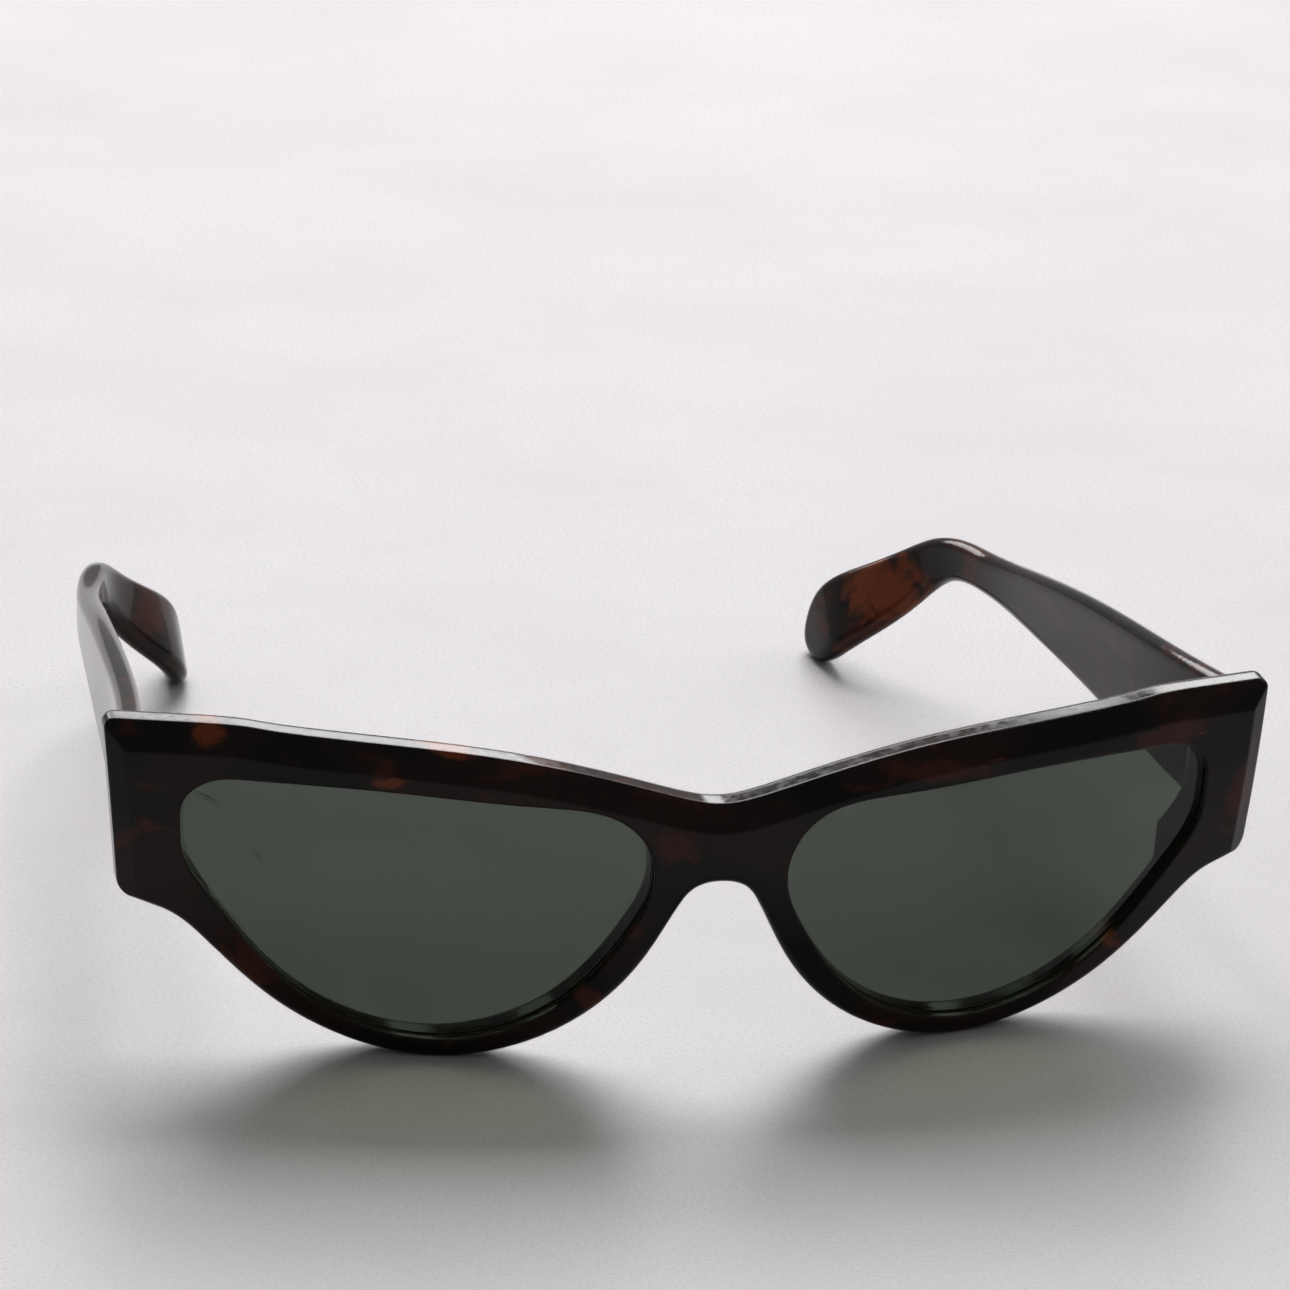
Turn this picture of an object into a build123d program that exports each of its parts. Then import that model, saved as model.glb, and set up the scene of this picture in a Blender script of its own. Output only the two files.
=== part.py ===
"""Cat-eye sunglasses: an acetate front, two lenses and two temples on five-barrel hinges.

Millimetres.  +X is the wearer's left, the front faces -Y, +Z is up.  The glasses stand open on
z = 0, on the two rim bottoms and the two temple tips.  Everything is drawn with y as the depth
behind the foremost point of the front; save() then moves the origin to the middle of the footprint.
Left-hand parts (+X) are drawn and mirrored to make the right-hand ones.
"""
from build123d import *
import os

os.makedirs("parts", exist_ok=True)

ORIGIN_DEPTH = 63.5
AHEAD = -5.0    # a depth in front of everything
BEYOND = 60.0   # a depth behind the front, and a height above everything

# Front: one plate of even thickness, bowed from side to side and from top to bottom.
WRAP_RADIUS = 182.0
FACE_RADIUS = 114.0
FACE_HEIGHT = 23.7
FRONT_THICKNESS = 5.4
HALF_WIDTH = 73.5
BROW = [(0, 34.3), (4, 34.85), (9, 36.2), (18, 38.45), (33, 40.7), (54, 41.95), (HALF_WIDTH, 41.5)]
FOOT = (71.4, 19.7)
BROW_END_SLOPE = -0.07
LOWER_RIM = [(66.6, 18.3), (61.4, 14.8), (53, 7.2), (44.2, 2.3), (33.8, 0.0),
             (22.8, 2.1), (14.3, 7.5), (8.5, 14.8), (4.9, 21.6), (0, 24.5)]
BROAD_FACE = 1000.0     # square millimetres; only the plate's front and back are larger

# Facets: width, and how far they fall at the edge.  Their cutters run past the edge and the crease.
BROW_FACET = (3.4, 1.3)
SIDE_FACET = (2.0, 1.0)
PAST_EDGE = 1.5
PAST_CREASE = 1.0
PAST_BROW_END = 3.0
PAST_SIDE_END = 4.0
FACET_STEPS = 24
CUTTER_DEPTH = 12.0

CORNER_ROUND = 1.3
FOOT_ROUND = 2.2
RIM_ROUND = 0.8
BACK_ROUND = 1.5

# Lens opening, and the tongue on the lens edge that snaps into a groove around the opening.
OPENING = [(64.7, 30.4), (62.6, 34.9), (56, 36.1), (39.3, 35.8), (22.9, 34.6), (11.1, 31.5),
           (8.3, 26.1), (11.2, 17.3), (19, 7.6), (31.8, 2.6), (42, 4.1), (51.8, 10), (60.2, 19.6)]
GROWN_STEPS = 40
LENS_DEPTH = 2.0
LENS_THICKNESS = 1.8
TONGUE_THICKNESS = 0.7
TONGUE_HEIGHT = 0.8
LENS_GAP = 0.05

# Nose pads: low glued-on crescents that lean outward as they run back.  In side view the rear edge
# is an arc, given by its centre (depth, height) and radius.
PAD_EDGE = [(14.6, 7.4), (11.2, 10.9), (8.6, 14.8), (6.1, 19.6)]
PAD_WIDTH = 1.9
PAD_RISE = 0.6
PAD_LEAN = 0.35
PAD_START = 4.0
PAD_REACH = 12.0
PAD_ARC_CENTRE = (-7.6, 15.2)
PAD_ARC_RADIUS = 14.9
PAD_ROUND = 0.7

# End piece and hinge.  The temple butts against the flat back of the end piece.
BUTT_DEPTH = 20.5
BUTT_GAP = 0.1
BUTT_INNER = 55.0
END_BLOCK = [(59.9, 41.3), (73.5, 40.8), FOOT, LOWER_RIM[0], (59.9, 16.8)]
END_BLOCK_DEPTH = 16.4
END_BLOCK_TAPER = 20
PIVOT = (66.3, 21.3)
HINGE_HEIGHT = 30.5
BARREL_RADIUS = 1.5
BARREL_COUNT = 5
BARREL_LENGTH = 1.44
BARREL_PITCH = 1.54
BARREL_RELIEF = 0.35
NECK_SETBACK = 0.1
BORE_RADIUS = 0.70
SHANK_RADIUS = 0.65
HEAD_RADIUS = 1.2
HEAD_LENGTH = 0.6
SLOT_WIDTH = 0.35
FRONT_PLATE = ((66.9, 71.2), (16.7, 17.7))
TEMPLE_PLATE = ((68.3, 69.3), (22.3, 33.0))
PLATE_HEIGHT = 6.6

# Temple: a side profile (depth, height) cut from a slab.  The slab's inner side is ruled square to
# a centre line (depth, height, x), so the tip bends inward across its own width.
TEMPLE_THICKNESS = 3.1
TEMPLE_CENTRE = [(8, 31.2, 69.4), (20.6, 30.3, 68.0), (43, 28.1, 65.3), (66, 26.7, 63.6),
                 (85, 24.4, 62.1), (100, 21.2, 60.1), (110, 16.8, 56.4), (116.5, 10.5, 49.2),
                 (121, 3.5, 44.6), (124.5, -3.5, 41.6)]
RULING_REACH = 13.0
TEMPLE_FRONT = BUTT_DEPTH + BUTT_GAP
TEMPLE_EDGE = [(TEMPLE_FRONT, 40.0), (43.5, 36.4), (66.5, 32.2), (85.5, 27.8), (101, 24.4),
               (112.3, 21.8), (120.8, 14.6), (126.8, 7.2), (125.6, 1.1), (121.2, 0.1),
               (116.4, 3.1), (112.6, 9.6), (109.0, 16.2), (99.4, 19.1), (84, 20.1), (65.5, 21.0),
               (42.6, 21.3), (TEMPLE_FRONT, 21.4)]
TEMPLE_ROUND = 1.4
TEMPLE_SPAN = (30.0, 80.0)  # every x a temple reaches
LONG_EDGE = 50.0            # only the edges round the profile are longer
CORE_PATH = [(68.4, 33.3, 30.2), (67.0, 43, 28.7), (65.3, 66, 26.7), (63.8, 85, 24.0),
             (61.8, 100, 21.5), (57.9, 110, 17.6), (51.2, 117, 10.4)]
CORE_RADIUS = 0.6


def face_depth(x, z):
    """Depth of the front's outer face at one point of its outline."""
    return x**2 / (2 * WRAP_RADIUS) + (z - FACE_HEIGHT) ** 2 / (2 * FACE_RADIUS)


def layer(near, far):
    """The bowed slice of space between two depths behind the outer face, wider than the front."""
    grid = [
        [Vector(x, face_depth(x, z) + near, z) for z in range(-8, 53, 10)]
        for x in range(-84, 85, 14)
    ]
    return extrude(Face.make_surface_from_array_of_points(grid), far - near, dir=(0, 1, 0))


def through(outline, near=AHEAD, far=BEYOND, lean=0.0):
    """An outline drawn in x and z, carried straight back from one depth to another."""
    standing = Plane((0, near, 0), x_dir=(1, 0, 0), z_dir=(0, -1, 0)) * outline
    run = far - near
    return extrude(standing, run * (1 + lean**2) ** 0.5, dir=(lean, 1, 0))


def plate(outline, near, far):
    return through(outline) & layer(near, far)


def block(x_range, y_range, z_range):
    """A box from its three ranges."""
    sizes = [high - low for low, high in (x_range, y_range, z_range)]
    middles = [(high + low) / 2 for low, high in (x_range, y_range, z_range)]
    return Pos(*middles) * Box(*sizes)


def mirrored(shape):
    return mirror(shape, about=Plane.YZ)


def both(shape):
    return [shape, mirrored(shape)]


def brow_line():
    return Spline(*BROW, tangents=[(1, 0), (1, BROW_END_SLOPE)])


def front_outline():
    half = [
        brow_line(),
        Line(BROW[-1], FOOT),
        Line(FOOT, LOWER_RIM[0]),
        Spline(*LOWER_RIM, tangents=[(-1, -0.3), (-1, 0)]),
    ]
    face = make_face(Wire(half + [edge.mirror(Plane.YZ) for edge in half]))
    for (corner_x, corner_z), radius in ((BROW[-1], CORNER_ROUND), (FOOT, FOOT_ROUND)):
        corners = [
            v for v in face.vertices()
            if abs(abs(v.X) - corner_x) < 0.01 and abs(v.Y - corner_z) < 0.01
        ]
        face = fillet(corners, radius)
    return face


def opening_outline(growth=0.0):
    """The lens opening, grown outward by a distance all round."""
    curve = Spline(*OPENING, periodic=True)
    points = []
    for step in range(GROWN_STEPS):
        point = curve @ (step / GROWN_STEPS)
        along = curve % (step / GROWN_STEPS)
        points.append((point.X + growth * along.Y, point.Y - growth * along.X))
    return make_face(Wire([Spline(*points, periodic=True)]))


def facet_cutter(points, inward, facet):
    """What a flat facet takes off the front: it starts `width` inside a line of edge points and
    falls `drop` at the line itself."""
    width, drop = facet
    reaches = (-PAST_EDGE, width / 2, width + PAST_CREASE)
    grid = []
    for x, z in points:
        row = [(x + inward[0] * reach, z + inward[1] * reach) for reach in reaches]
        grid.append([
            Vector(px, face_depth(px, pz) + drop * (1 - reach / width), pz)
            for (px, pz), reach in zip(row, reaches)
        ])
    return extrude(Face.make_surface_from_array_of_points(grid), CUTTER_DEPTH, dir=(0, -1, 0))


def brow_cutter():
    brow = brow_line()
    right = [brow @ (step / FACET_STEPS) for step in range(FACET_STEPS + 1)]
    end = (HALF_WIDTH + PAST_BROW_END, BROW[-1][1] + BROW_END_SLOPE * PAST_BROW_END)
    half = [(point.X, point.Y) for point in right] + [end]
    points = [(-x, z) for x, z in reversed(half[1:])] + half
    return facet_cutter(points, (0, -1), BROW_FACET)


def side_cutter():
    (top_x, top_z), (foot_x, foot_z) = BROW[-1], FOOT
    slope = (top_x - foot_x) / (top_z - foot_z)
    heights = [foot_z - PAST_SIDE_END, (foot_z + top_z) / 2, top_z + PAST_SIDE_END]
    points = [(foot_x + slope * (z - foot_z), z) for z in heights]
    return facet_cutter(points, (-1, 0), SIDE_FACET)


def broad_faces(solid):
    """The plate's two large faces, front one first."""
    large = [face for face in solid.faces() if face.area > BROAD_FACE]
    return sorted(large, key=lambda face: face.center().Y)


def front_blank():
    """The plate with rounded front and back edges, before openings and hinges."""
    blank = plate(front_outline(), 0, FRONT_THICKNESS)
    blank = fillet(broad_faces(blank)[0].edges(), RIM_ROUND)
    return fillet(broad_faces(blank)[-1].edges(), BACK_ROUND)


def end_block():
    """The end piece behind the plate, drawn in towards the temple as it runs back."""
    face = make_face(Polyline(*END_BLOCK, close=True))
    for (x, z), radius in ((END_BLOCK[1], CORNER_ROUND), (FOOT, FOOT_ROUND)):
        nearest = min(face.vertices(), key=lambda v: abs(v.X - x) + abs(v.Y - z))
        face = fillet(nearest, radius)
    standing = Plane((0, END_BLOCK_DEPTH, 0), x_dir=(1, 0, 0), z_dir=(0, -1, 0)) * face
    return extrude(standing, END_BLOCK_DEPTH - BUTT_DEPTH, taper=END_BLOCK_TAPER)


def front_frame(blank):
    """The acetate front with its facets, openings, lens grooves, end pieces and hinge pockets."""
    frame = blank - brow_cutter()
    for cutter in both(side_cutter()):
        frame -= cutter
    opening = through(opening_outline())
    groove_half = TONGUE_THICKNESS / 2 + LENS_GAP
    groove = plate(
        opening_outline(TONGUE_HEIGHT + LENS_GAP), LENS_DEPTH - groove_half, LENS_DEPTH + groove_half
    )
    beyond_butt = block((BUTT_INNER, 2 * HALF_WIDTH), (BUTT_DEPTH, BEYOND), (0, BEYOND))
    for solid in both(end_block()):
        frame += solid
    for solid in both(opening) + both(groove) + both(beyond_butt) + both(barrel_relief()):
        frame -= solid
    for solid in both(hinge_front()):
        frame -= solid
    return frame


def lens():
    half = LENS_THICKNESS / 2
    body = plate(opening_outline(-LENS_GAP), LENS_DEPTH - half, LENS_DEPTH + half)
    half = TONGUE_THICKNESS / 2
    tongue = plate(opening_outline(TONGUE_HEIGHT), LENS_DEPTH - half, LENS_DEPTH + half)
    return body + tongue


def nose_pad(blank):
    """A crescent glued along the nose side of the rim, its rear edge rounded off."""
    inner = Spline(*PAD_EDGE)
    outer = Spline(*[(x + PAD_WIDTH, z + PAD_RISE) for x, z in PAD_EDGE])
    crescent = make_face(Wire([inner, Line(inner @ 1, outer @ 1), outer, Line(outer @ 0, inner @ 0)]))
    leaning = through(crescent, PAD_START, PAD_START + PAD_REACH, PAD_LEAN)
    side = Plane((0, 0, 0), x_dir=(0, 1, 0), z_dir=(1, 0, 0)) * (
        Pos(*PAD_ARC_CENTRE) * Circle(PAD_ARC_RADIUS)
    )
    behind_rim = layer(FRONT_THICKNESS - BACK_ROUND, PAD_START + PAD_REACH)
    pad = leaning & extrude(side, HALF_WIDTH) & behind_rim
    rear = max(pad.faces(), key=lambda face: face.center().Y)
    return fillet(rear.edges(), PAD_ROUND) - blank


def on_pivot(radius, low, high):
    """An upright cylinder on the hinge axis between two heights."""
    return Pos(PIVOT[0], PIVOT[1], (low + high) / 2) * Cylinder(radius, high - low)


def hinge_foot():
    return HINGE_HEIGHT - (BARREL_COUNT * BARREL_PITCH) / 2 + (BARREL_PITCH - BARREL_LENGTH) / 2


def barrel_heights(index):
    low = hinge_foot() + index * BARREL_PITCH
    return low, low + BARREL_LENGTH


def hinge_top():
    return barrel_heights(BARREL_COUNT - 1)[1]


def barrel_relief():
    """Room around the barrels in the acetate of the front and of the temple."""
    return on_pivot(
        BARREL_RADIUS + BARREL_RELIEF, hinge_foot() - BARREL_RELIEF,
        hinge_top() + HEAD_LENGTH + BARREL_RELIEF,
    )


def hinge_leaf(indices, neck, plate_ranges):
    """Barrels on the pivot, each with a neck to one plate buried in the acetate."""
    half = PLATE_HEIGHT / 2
    leaf = block(*plate_ranges, (HINGE_HEIGHT - half, HINGE_HEIGHT + half))
    for index in indices:
        low, high = barrel_heights(index)
        leaf += block(*neck, (low, high)) + on_pivot(BARREL_RADIUS, low, high)
    return leaf - on_pivot(BORE_RADIUS, 0, BEYOND)


def hinge_front():
    x_range = (PIVOT[0] + NECK_SETBACK, PIVOT[0] + BARREL_RADIUS)
    return hinge_leaf((0, 2, 4), (x_range, (FRONT_PLATE[1][0], PIVOT[1])), FRONT_PLATE)


def hinge_temple():
    y_range = (PIVOT[1] + NECK_SETBACK, PIVOT[1] + BARREL_RADIUS)
    return hinge_leaf((1, 3), ((PIVOT[0], TEMPLE_PLATE[0][1]), y_range), TEMPLE_PLATE)


def hinge_screw():
    top = hinge_top()
    screw = on_pivot(SHANK_RADIUS, hinge_foot(), top) + on_pivot(HEAD_RADIUS, top, top + HEAD_LENGTH)
    slot = Pos(PIVOT[0], PIVOT[1], top + HEAD_LENGTH) * Box(4 * HEAD_RADIUS, SLOT_WIDTH, HEAD_LENGTH)
    return screw - slot


def core_wire():
    """The metal core that stiffens a temple, from the hinge plate to the tip."""
    path = Spline(*CORE_PATH)
    section = Plane(origin=path @ 0, z_dir=path % 0) * Circle(CORE_RADIUS)
    return sweep(section, path=path)


def temple_slab():
    """The bent slab the temple is cut from, thick along x."""
    grid = []
    count = len(TEMPLE_CENTRE)
    for index, (y, z, x) in enumerate(TEMPLE_CENTRE):
        before = TEMPLE_CENTRE[max(index - 1, 0)]
        after = TEMPLE_CENTRE[min(index + 1, count - 1)]
        run, rise = after[0] - before[0], after[1] - before[1]
        length = (run**2 + rise**2) ** 0.5
        across = (-rise / length, run / length)
        grid.append([
            Vector(x, y + across[0] * reach, z + across[1] * reach)
            for reach in (-RULING_REACH, 0, RULING_REACH)
        ])
    return thicken(Face.make_surface_from_array_of_points(grid), TEMPLE_THICKNESS)


def temple():
    edge = [Spline(*TEMPLE_EDGE), Line(TEMPLE_EDGE[-1], TEMPLE_EDGE[0])]
    inner, outer = TEMPLE_SPAN
    profile = Plane((inner, 0, 0), x_dir=(0, 1, 0), z_dir=(1, 0, 0)) * make_face(Wire(edge))
    arm = temple_slab() & extrude(profile, outer - inner)
    arm = fillet([edge for edge in arm.edges() if edge.length > LONG_EDGE], TEMPLE_ROUND)
    return arm - barrel_relief() - hinge_temple() - core_wire()


def save(name, shape):
    placed = Pos(0, -ORIGIN_DEPTH, 0) * shape
    export_step(placed, f"parts/{name}.step")
    print(name, round(placed.volume, 1), len(placed.solids()), placed.is_valid)


def save_pair(name, shape):
    save(f"{name}_left", shape)
    save(f"{name}_right", mirrored(shape))


front_plate = front_blank()
save("front_frame", front_frame(front_plate))
save_pair("lens", lens())
save_pair("nose_pad", nose_pad(front_plate))
save_pair("temple", temple())
save_pair("core_wire", core_wire())
save_pair("hinge_front", hinge_front())
save_pair("hinge_temple", hinge_temple())
save_pair("hinge_screw", hinge_screw())
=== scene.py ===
"""Cat-eye sunglasses on a pale table: materials, soft studio light and camera, in metres.

The object stands on z = 0 with its front towards -Y; +X is the wearer's left.
"""
import math

import bpy
from mathutils import Matrix, Vector

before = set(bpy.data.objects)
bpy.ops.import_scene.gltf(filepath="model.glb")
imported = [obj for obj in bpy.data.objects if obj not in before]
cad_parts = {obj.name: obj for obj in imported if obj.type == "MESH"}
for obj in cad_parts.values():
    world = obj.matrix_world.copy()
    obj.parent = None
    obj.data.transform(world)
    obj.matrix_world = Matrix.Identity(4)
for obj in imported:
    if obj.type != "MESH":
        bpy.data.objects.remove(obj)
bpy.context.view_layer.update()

MILLIMETRE = 0.001

# Camera: place in metres, angles in degrees, focal length and sensor in millimetres.
CAMERA_PLACE = (-0.2013, -0.7888, 0.3739)
CAMERA_AZIMUTH = -14.652
CAMERA_ELEVATION = 22.958
CAMERA_ROLL = 3.946
CAMERA_LENS = 191.16
SENSOR_WIDTH = 36.0

# Lamps: name, place and size in metres, power in watts.
LAMPS = [
    ("rear_box", (0.10, 0.92, 1.02), (0.95, 0.75), 22.5),
    ("rear_strip", (0.10, 1.30, 0.60), (1.6, 0.16), 5.0),
    ("side_box", (1.10, 0.30, 0.70), (0.6, 0.6), 3.0),
]
LAMP_AIM = (0, 0, 0)

# The studio around it: near and far side, and the directions along Y where one fades into the other.
SKY_NEAR = (0.165, 0.163, 0.166)
SKY_FAR = (0.40, 0.395, 0.405)
SKY_FADE = (-0.3, 0.8)

# Colours, linear.
ACETATE_DARK = (0.0030, 0.0019, 0.0016)
ACETATE_BROWN = (0.014, 0.0055, 0.0035)
ACETATE_RUST = (0.048, 0.0120, 0.0052)
ACETATE_ORANGE = (0.15, 0.033, 0.0085)
ACETATE_AMBER = (0.50, 0.23, 0.040)
LENS_TINT = (0.065, 0.079, 0.062)
LENS_SHADOW = (0.26, 0.29, 0.20)
LENS_DULL = (0.012, 0.014, 0.011)
NICKEL = (0.60, 0.58, 0.54)
STEEL = (0.52, 0.52, 0.51)
TABLE_PALE = (0.52, 0.498, 0.515)
TABLE_GREY = (0.48, 0.458, 0.475)

# Brightness of the smears, the tarnish and the speckle, as a share of what they lie on.
SMEAR_SHADE = 0.93
TARNISH_SHADE = 0.55
SPECKLE_SHADE = 0.87

# Gloss: roughness from the smoothest to the dullest spot, and how strongly a surface mirrors.
ACETATE_ROUGHNESS = (0.05, 0.14)
LENS_ROUGHNESS = (0.004, 0.020)
METAL_ROUGHNESS = (0.20, 0.40)
TABLE_ROUGHNESS = (0.34, 0.46)
ACETATE_IOR = 1.42
LENS_IOR = 1.42
ACETATE_SPECULAR = 0.30
TABLE_SPECULAR = 0.22

# A lens surface is its ground edge where its normal's Y is below the first of these, and one of
# the two polished faces where it is above the second.
LENS_EDGE_FADE = (0.55, 0.70)

# Relief of the surfaces.
CREASE_RADIUS = 0.6 * MILLIMETRE
CREASE_SAMPLES = 6
HAIRLINE_DEPTH = 0.02 * MILLIMETRE
METAL_GRAIN_DEPTH = 0.02 * MILLIMETRE
TABLE_GRIT_DEPTH = 0.1 * MILLIMETRE

# Noise levels between which each colour of the tortoiseshell fades in. A piece's vividness
# lowers them, and the flecks' by only a part of it.
BROWN_FADE = (0.44, 0.64)
RUST_FADE = (0.58, 0.74)
FLECK_FADE = (0.74, 0.84)
FLECK_VIVIDNESS = 0.4

# Which way the tortoiseshell flows, in degrees about X, Y and Z.
FRONT_FLOW = (0, 20, 15)
LEFT_TEMPLE_FLOW = (0, 10, 75)
RIGHT_TEMPLE_FLOW = (0, -10, 105)

# How far the metals' fine lines stretch along X, Y and Z.
HINGE_GRAIN = (3, 3, 0.3)
CORE_GRAIN = (0.3, 4, 0.3)

# Larger patches in the tortoiseshell, in millimetres: centre, half sizes, lean about Y, colour.
FRONT_PATCHES = [
    ((-61.5, -44, 41.2), (2.2, 20, 2.0), 10, ACETATE_ORANGE),
    ((-40.5, -50, 37.1), (3.0, 20, 0.7), -8, ACETATE_ORANGE),
    ((-33.5, -55, 40.8), (4.0, 20, 0.8), 12, ACETATE_ORANGE),
    ((-29.0, -58, 41.9), (3.4, 20, 0.45), 6, ACETATE_AMBER),
    ((-63.0, -48, 36.5), (7.0, 20, 3.2), -10, ACETATE_BROWN),
    ((-66.5, -45, 24.5), (5.0, 20, 6.5), 25, ACETATE_BROWN),
    ((-56.0, -45, 12.0), (7.0, 20, 4.0), -40, ACETATE_RUST),
    ((-22.0, -58, 39.2), (6.5, 20, 0.9), -6, ACETATE_RUST),
    ((-6.0, -60, 29.4), (3.2, 20, 2.4), 20, ACETATE_RUST),
    ((3.0, -60, 30.2), (8.0, 20, 1.6), -4, ACETATE_BROWN),
    ((-15.0, -60, 8.8), (4.0, 20, 1.6), 40, ACETATE_RUST),
    ((27.0, -60, 37.0), (7.0, 20, 1.4), 6, ACETATE_RUST),
    ((32.0, -56, 41.6), (4.6, 20, 0.30), 3, ACETATE_AMBER),
    ((59.0, -48, 37.2), (5.6, 20, 2.3), -4, ACETATE_RUST),
    ((69.7, -44, 27.2), (2.2, 20, 4.8), 14, ACETATE_RUST),
    ((52.5, -48, 10.9), (2.6, 20, 1.5), 40, ACETATE_ORANGE),
]
LEFT_TEMPLE_PATCHES = [
    ((52.5, 51, 13.0), (10, 7, 5.0), 0, ACETATE_ORANGE),
    ((59.0, 38, 22.0), (10, 3, 6.0), 0, ACETATE_RUST),
    ((63.0, 10, 27.0), (10, 6, 1.6), 0, ACETATE_RUST),
]
RIGHT_TEMPLE_PATCHES = [
    ((-51.0, 54, 12.0), (10, 5, 4.0), 0, ACETATE_RUST),
    ((-64.0, 0, 30.0), (10, 7, 2.0), 0, ACETATE_RUST),
]
LENS_SCRATCHES = [
    ((-61.0, -50, 32.6), (1.7, 20, 0.16), 22, LENS_DULL),
    ((-55.2, -50, 25.9), (1.0, 20, 0.16), 55, LENS_DULL),
    ((-37.4, -50, 8.4), (0.5, 20, 0.20), 0, LENS_DULL),
    ((25.5, -55, 10.2), (1.2, 20, 0.16), -10, LENS_DULL),
]

# A patch fades between these distances from its centre, counted in half sizes. The raggedness is
# how far its border wanders.
PATCH_FADE = (0.45, 1.15)
TORTOISE_RAGGEDNESS = 1.8
SCRATCH_RAGGEDNESS = 0.3

TABLE_SIZE = 6.0

# Places of the Mix node's colour sockets, whose names its number and vector sockets share.
MIX_UNDER = 6
MIX_OVER = 7
MIX_RESULT = 2


# ---------------------------------------------------------------- node helpers
def new_material(name):
    """A material with one Principled shader, its node tree and that shader."""
    material = bpy.data.materials.new(name)
    material.use_nodes = True
    tree = material.node_tree
    tree.nodes.clear()
    output = add(tree, "ShaderNodeOutputMaterial")
    shader = add(tree, "ShaderNodeBsdfPrincipled")
    tree.links.new(shader.outputs["BSDF"], output.inputs["Surface"])
    return material, tree, shader


def add(tree, kind, **settings):
    """A node with its properties set by name."""
    node = tree.nodes.new(kind)
    for name, value in settings.items():
        setattr(node, name, value)
    return node


def place(tree, stretch=(1, 1, 1), turn=(0, 0, 0), offset=(0, 0, 0)):
    """Object coordinates in millimetres, turned and stretched."""
    coordinates = add(tree, "ShaderNodeTexCoord")
    mapping = add(tree, "ShaderNodeMapping")
    mapping.inputs["Location"].default_value = offset
    mapping.inputs["Rotation"].default_value = [math.radians(angle) for angle in turn]
    mapping.inputs["Scale"].default_value = [1 / (MILLIMETRE * s) for s in stretch]
    tree.links.new(coordinates.outputs["Object"], mapping.inputs["Vector"])
    return mapping.outputs["Vector"]


def noise(tree, vector, scale, detail=2.0, roughness=0.5, distortion=0.0):
    """Cloudy noise from 0 to 1; scale is in features per millimetre."""
    node = add(tree, "ShaderNodeTexNoise")
    node.inputs["Scale"].default_value = scale
    node.inputs["Detail"].default_value = detail
    node.inputs["Roughness"].default_value = roughness
    node.inputs["Distortion"].default_value = distortion
    tree.links.new(vector, node.inputs["Vector"])
    return node.outputs["Fac"]


def ramp(tree, factor, stops):
    """A colour ramp from (position, colour) stops."""
    node = add(tree, "ShaderNodeValToRGB")
    elements = node.color_ramp.elements
    while len(elements) < len(stops):
        elements.new(0.5)
    for element, (position, colour) in zip(elements, stops):
        element.position = position
        element.color = (*colour, 1.0)
    tree.links.new(factor, node.inputs["Fac"])
    return node.outputs["Color"]


def spread(tree, factor, low, high, to_low=0.0, to_high=1.0):
    """Maps low..high smoothly to to_low..to_high and clamps outside."""
    node = add(tree, "ShaderNodeMapRange", interpolation_type="SMOOTHSTEP")
    for name, value in (
        ("From Min", low), ("From Max", high), ("To Min", to_low), ("To Max", to_high)
    ):
        node.inputs[name].default_value = value
    tree.links.new(factor, node.inputs["Value"])
    return node.outputs["Result"]


def blend(tree, factor, under, over):
    """Mixes two colours, each a socket or a plain colour."""
    node = add(tree, "ShaderNodeMix", data_type="RGBA")
    tree.links.new(factor, node.inputs["Factor"])
    for place_in_node, colour in ((MIX_UNDER, under), (MIX_OVER, over)):
        socket = node.inputs[place_in_node]
        if isinstance(colour, tuple):
            socket.default_value = (*colour, 1.0)
        else:
            tree.links.new(colour, socket)
    return node.outputs[MIX_RESULT]


def shade(colour, factor):
    """The colour with its brightness multiplied by a factor."""
    return tuple(factor * c for c in colour)


def bump(tree, height, strength, distance, normal=None):
    """A shading normal with this relief on it."""
    node = add(tree, "ShaderNodeBump")
    node.inputs["Strength"].default_value = strength
    node.inputs["Distance"].default_value = distance
    tree.links.new(height, node.inputs["Height"])
    if normal:
        tree.links.new(normal, node.inputs["Normal"])
    return node.outputs["Normal"]


def soft_creases(tree, radius):
    """Shading normals that round off creases, as polishing does."""
    node = add(tree, "ShaderNodeBevel", samples=CREASE_SAMPLES)
    node.inputs["Radius"].default_value = radius
    return node.outputs["Normal"]


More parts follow.
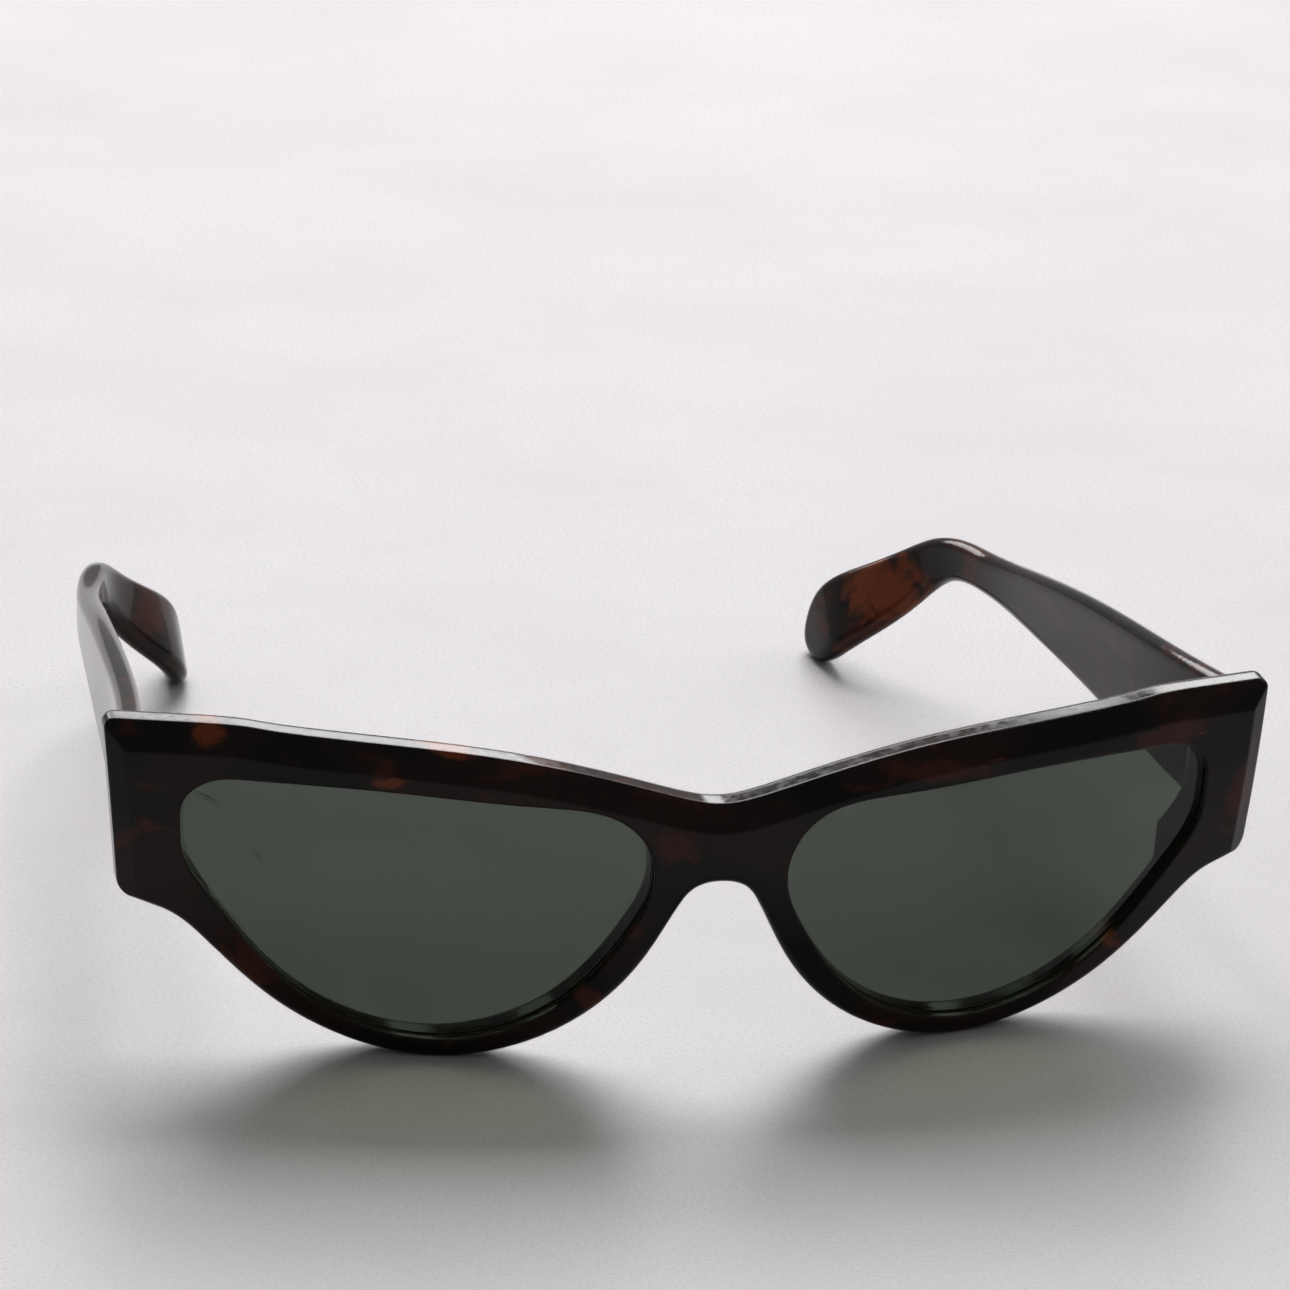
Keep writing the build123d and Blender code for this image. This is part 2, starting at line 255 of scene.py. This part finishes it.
def patch(tree, centre, half_size, lean, raggedness):
    """A mask, 1 inside an ellipsoid and fading to 0 at its ragged border."""
    coordinates = add(tree, "ShaderNodeTexCoord")
    shift = add(tree, "ShaderNodeVectorMath", operation="SUBTRACT")
    shift.inputs[1].default_value = [MILLIMETRE * c for c in centre]
    tree.links.new(coordinates.outputs["Object"], shift.inputs[0])
    mapping = add(tree, "ShaderNodeMapping", vector_type="TEXTURE")
    mapping.inputs["Rotation"].default_value = (0, math.radians(lean), 0)
    mapping.inputs["Scale"].default_value = [MILLIMETRE * s for s in half_size]
    tree.links.new(shift.outputs[0], mapping.inputs["Vector"])
    length = add(tree, "ShaderNodeVectorMath", operation="LENGTH")
    tree.links.new(mapping.outputs["Vector"], length.inputs[0])
    border = noise(tree, place(tree), 0.35, detail=3.0, roughness=0.6, distortion=0.6)
    distance = add(tree, "ShaderNodeMath", operation="MULTIPLY_ADD")
    tree.links.new(border, distance.inputs[0])
    distance.inputs[1].default_value = raggedness
    tree.links.new(length.outputs["Value"], distance.inputs[2])
    solid, gone = (level + raggedness / 2 for level in PATCH_FADE)
    return spread(tree, distance.outputs["Value"], solid, gone, to_low=1.0, to_high=0.0)


def patched(tree, colour, patches, raggedness):
    """The colour with every (centre, half size, lean, colour) patch laid over it."""
    for centre, half_size, lean, over in patches:
        colour = blend(tree, patch(tree, centre, half_size, lean, raggedness), colour, over)
    return colour


# ------------------------------------------------------------------- materials
def tortoise(tree, vividness, turn):
    """Near-black with soft brown clouds, rust-red areas and orange flecks."""
    flow = place(tree, stretch=(1.5, 1.0, 0.7), turn=turn)
    fine_flow = place(tree, stretch=(2.2, 1.4, 0.6), turn=turn, offset=(7, 3, 5))
    clouds = noise(tree, flow, 0.075, detail=2.0, roughness=0.45, distortion=0.5)
    rusts = noise(tree, flow, 0.150, detail=3.0, roughness=0.50, distortion=0.7)
    flecks = noise(tree, fine_flow, 0.26, detail=3.0, roughness=0.5, distortion=0.5)
    brown_from, brown_full = (level - vividness for level in BROWN_FADE)
    colour = ramp(tree, clouds, [
        (0.0, ACETATE_DARK), (brown_from, ACETATE_DARK), (brown_full, ACETATE_BROWN),
    ])
    rust = spread(tree, rusts, *(level - vividness for level in RUST_FADE))
    colour = blend(tree, rust, colour, ACETATE_RUST)
    fleck = spread(tree, flecks, *(level - FLECK_VIVIDNESS * vividness for level in FLECK_FADE))
    return blend(tree, fleck, colour, ACETATE_ORANGE)


def acetate(name, vividness, turn, patches=()):
    """Polished tortoiseshell with faint wear and hairlines."""
    material, tree, shader = new_material(name)
    colour = patched(tree, tortoise(tree, vividness, turn), patches, TORTOISE_RAGGEDNESS)
    tree.links.new(colour, shader.inputs["Base Color"])
    wear = noise(tree, place(tree), 0.8, detail=5.0, roughness=0.65)
    gloss = spread(tree, wear, 0.35, 0.75, *ACETATE_ROUGHNESS)
    tree.links.new(gloss, shader.inputs["Roughness"])
    hairlines = noise(tree, place(tree, stretch=(6, 6, 0.25), turn=(0, 35, 20)), 1.2, detail=2.0)
    polished = soft_creases(tree, CREASE_RADIUS)
    relief = bump(tree, hairlines, strength=0.10, distance=HAIRLINE_DEPTH, normal=polished)
    tree.links.new(relief, shader.inputs["Normal"])
    shader.inputs["IOR"].default_value = ACETATE_IOR
    shader.inputs["Specular IOR Level"].default_value = ACETATE_SPECULAR
    return material


def ground_edge(tree):
    """1 on the lens rims, which are ground dull, and 0 on the two polished faces."""
    geometry = add(tree, "ShaderNodeNewGeometry")
    split = add(tree, "ShaderNodeSeparateXYZ")
    tree.links.new(geometry.outputs["True Normal"], split.inputs["Vector"])
    facing = add(tree, "ShaderNodeMath", operation="ABSOLUTE")
    tree.links.new(split.outputs["Y"], facing.inputs[0])
    return spread(tree, facing.outputs["Value"], *LENS_EDGE_FADE, to_low=1.0, to_high=0.0)


def tint_shadows(tree, shader, colour):
    """Lamps shine straight through the surface, tinted."""
    clear = add(tree, "ShaderNodeBsdfTransparent")
    clear.inputs["Color"].default_value = (*colour, 1.0)
    path = add(tree, "ShaderNodeLightPath")
    mix = add(tree, "ShaderNodeMixShader")
    tree.links.new(path.outputs["Is Shadow Ray"], mix.inputs[0])
    tree.links.new(shader.outputs["BSDF"], mix.inputs[1])
    tree.links.new(clear.outputs["BSDF"], mix.inputs[2])
    output = next(node for node in tree.nodes if node.type == "OUTPUT_MATERIAL")
    tree.links.new(mix.outputs["Shader"], output.inputs["Surface"])


def tinted_lens():
    """Grey-green glass with faint smears, a few scratches and dull edges."""
    material, tree, shader = new_material("lens_tint")
    rim = ground_edge(tree)
    haze_place = place(tree, stretch=(3.0, 3.0, 1.2), turn=(0, 25, 0))
    haze = noise(tree, haze_place, 0.12, detail=3.0, roughness=0.6, distortion=0.8)
    tint = blend(
        tree, spread(tree, haze, 0.35, 0.70), LENS_TINT, shade(LENS_TINT, SMEAR_SHADE)
    )
    tint = patched(tree, tint, LENS_SCRATCHES, SCRATCH_RAGGEDNESS)
    tint = blend(tree, rim, tint, LENS_DULL)
    tree.links.new(tint, shader.inputs["Base Color"])
    smear_place = place(tree, stretch=(4.0, 4.0, 12.0), turn=(0, 40, 0))
    smears = noise(tree, smear_place, 0.9, detail=3.0, roughness=0.6)
    roughness = add(tree, "ShaderNodeMath", operation="MAXIMUM")
    tree.links.new(spread(tree, smears, 0.50, 0.80, *LENS_ROUGHNESS), roughness.inputs[0])
    tree.links.new(rim, roughness.inputs[1])
    tree.links.new(roughness.outputs["Value"], shader.inputs["Roughness"])
    clearness = spread(tree, rim, 0.0, 1.0, to_low=1.0, to_high=0.0)
    tree.links.new(clearness, shader.inputs["Transmission Weight"])
    shader.inputs["IOR"].default_value = LENS_IOR
    tint_shadows(tree, shader, LENS_SHADOW)
    return material


def metal(name, colour, grain):
    """Turned metal with fine grain, tarnished in places."""
    material, tree, shader = new_material(name)
    tarnish = noise(tree, place(tree), 0.7, detail=4.0, roughness=0.6)
    mottled = blend(
        tree, spread(tree, tarnish, 0.35, 0.70), colour, shade(colour, TARNISH_SHADE)
    )
    tree.links.new(mottled, shader.inputs["Base Color"])
    lines = noise(tree, place(tree, stretch=grain), 2.5, detail=3.0)
    gloss = spread(tree, lines, 0.30, 0.70, *METAL_ROUGHNESS)
    tree.links.new(gloss, shader.inputs["Roughness"])
    relief = bump(tree, lines, strength=0.25, distance=METAL_GRAIN_DEPTH)
    tree.links.new(relief, shader.inputs["Normal"])
    shader.inputs["Metallic"].default_value = 1.0
    return material


def table_top():
    """A pale, slightly glossy painted table with a fine speckle."""
    material, tree, shader = new_material("table")
    stains = noise(tree, place(tree, stretch=(60, 40, 60)), 0.9, detail=5.0, roughness=0.6)
    grit = noise(tree, place(tree), 2.0, detail=3.0, roughness=0.7)
    colour = blend(tree, spread(tree, stains, 0.30, 0.70), TABLE_PALE, TABLE_GREY)
    speckle = shade(TABLE_GREY, SPECKLE_SHADE)
    colour = blend(tree, spread(tree, grit, 0.45, 0.75), colour, speckle)
    tree.links.new(colour, shader.inputs["Base Color"])
    gloss = spread(tree, grit, 0.30, 0.75, *TABLE_ROUGHNESS)
    tree.links.new(gloss, shader.inputs["Roughness"])
    relief = bump(tree, grit, strength=0.20, distance=TABLE_GRIT_DEPTH)
    tree.links.new(relief, shader.inputs["Normal"])
    shader.inputs["Specular IOR Level"].default_value = TABLE_SPECULAR
    return material


# --------------------------------------------------------------- CAD materials
def dress(prefix, material):
    """Gives every CAD node whose name starts with prefix this material."""
    for name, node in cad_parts.items():
        if name.startswith(prefix):
            node.data.materials.clear()
            node.data.materials.append(material)


dress("front_frame", acetate("acetate_front", 0.0, FRONT_FLOW, FRONT_PATCHES))
dress("nose_pad", acetate("acetate_pad", 0.02, FRONT_FLOW))
dress("temple_left", acetate("acetate_temple_left", 0.05, LEFT_TEMPLE_FLOW, LEFT_TEMPLE_PATCHES))
dress("temple_right", acetate("acetate_temple_right", 0.03, RIGHT_TEMPLE_FLOW, RIGHT_TEMPLE_PATCHES))
dress("lens", tinted_lens())
dress("core_wire", metal("core_metal", NICKEL, CORE_GRAIN))
dress("hinge_front", metal("hinge_metal", NICKEL, HINGE_GRAIN))
dress("hinge_temple", metal("hinge_metal_rear", NICKEL, HINGE_GRAIN))
dress("hinge_screw", metal("screw_metal", STEEL, HINGE_GRAIN))


# --------------------------------------------------------- table, light, camera
def floor():
    """The table top, a wide square under the object."""
    half = TABLE_SIZE / 2
    corners = [(-half, -half, 0), (half, -half, 0), (half, half, 0), (-half, half, 0)]
    mesh = bpy.data.meshes.new("table_top")
    mesh.from_pydata(corners, [], [(0, 1, 2, 3)])
    mesh.materials.append(table_top())
    top = bpy.data.objects.new("table_top", mesh)
    bpy.context.scene.collection.objects.link(top)


def softbox(name, place_at, size, power):
    """A rectangular area light that looks at LAMP_AIM."""
    light = bpy.data.lights.new(name, "AREA")
    light.shape = "RECTANGLE"
    light.size, light.size_y = size
    light.energy = power
    lamp = bpy.data.objects.new(name, light)
    direction = Vector(LAMP_AIM) - Vector(place_at)
    lamp.location = place_at
    lamp.rotation_euler = direction.to_track_quat("-Z", "Y").to_euler()
    bpy.context.scene.collection.objects.link(lamp)


def surroundings():
    """A bright far side and a dim near side, fading round the sky."""
    world = bpy.data.worlds.new("studio")
    world.use_nodes = True
    tree = world.node_tree
    tree.nodes.clear()
    output = add(tree, "ShaderNodeOutputWorld")
    back = add(tree, "ShaderNodeBackground")
    coordinates = add(tree, "ShaderNodeTexCoord")
    split = add(tree, "ShaderNodeSeparateXYZ")
    tree.links.new(coordinates.outputs["Generated"], split.inputs["Vector"])
    colour = blend(tree, spread(tree, split.outputs["Y"], *SKY_FADE), SKY_NEAR, SKY_FAR)
    tree.links.new(colour, back.inputs["Color"])
    tree.links.new(back.outputs["Background"], output.inputs["Surface"])
    bpy.context.scene.world = world


def camera():
    """Turned to its azimuth and elevation, then rolled about its line of sight."""
    azimuth, elevation, roll = (
        math.radians(angle) for angle in (CAMERA_AZIMUTH, CAMERA_ELEVATION, CAMERA_ROLL)
    )
    back = Vector((
        math.sin(azimuth) * math.cos(elevation),
        -math.cos(azimuth) * math.cos(elevation),
        math.sin(elevation),
    ))
    ahead = -back
    level_right = ahead.cross(Vector((0, 0, 1))).normalized()
    level_down = ahead.cross(level_right)
    right = math.cos(roll) * level_right - math.sin(roll) * level_down
    down = math.sin(roll) * level_right + math.cos(roll) * level_down
    data = bpy.data.cameras.new("camera")
    data.lens = CAMERA_LENS
    data.sensor_width = SENSOR_WIDTH
    eye = bpy.data.objects.new("camera", data)
    turn = Matrix((right, -down, back)).transposed()
    eye.matrix_world = Matrix.Translation(CAMERA_PLACE) @ turn.to_4x4()
    bpy.context.scene.collection.objects.link(eye)
    bpy.context.scene.camera = eye


floor()
surroundings()
for lamp_settings in LAMPS:
    softbox(*lamp_settings)
camera()
bpy.context.scene.view_settings.view_transform = "Standard"
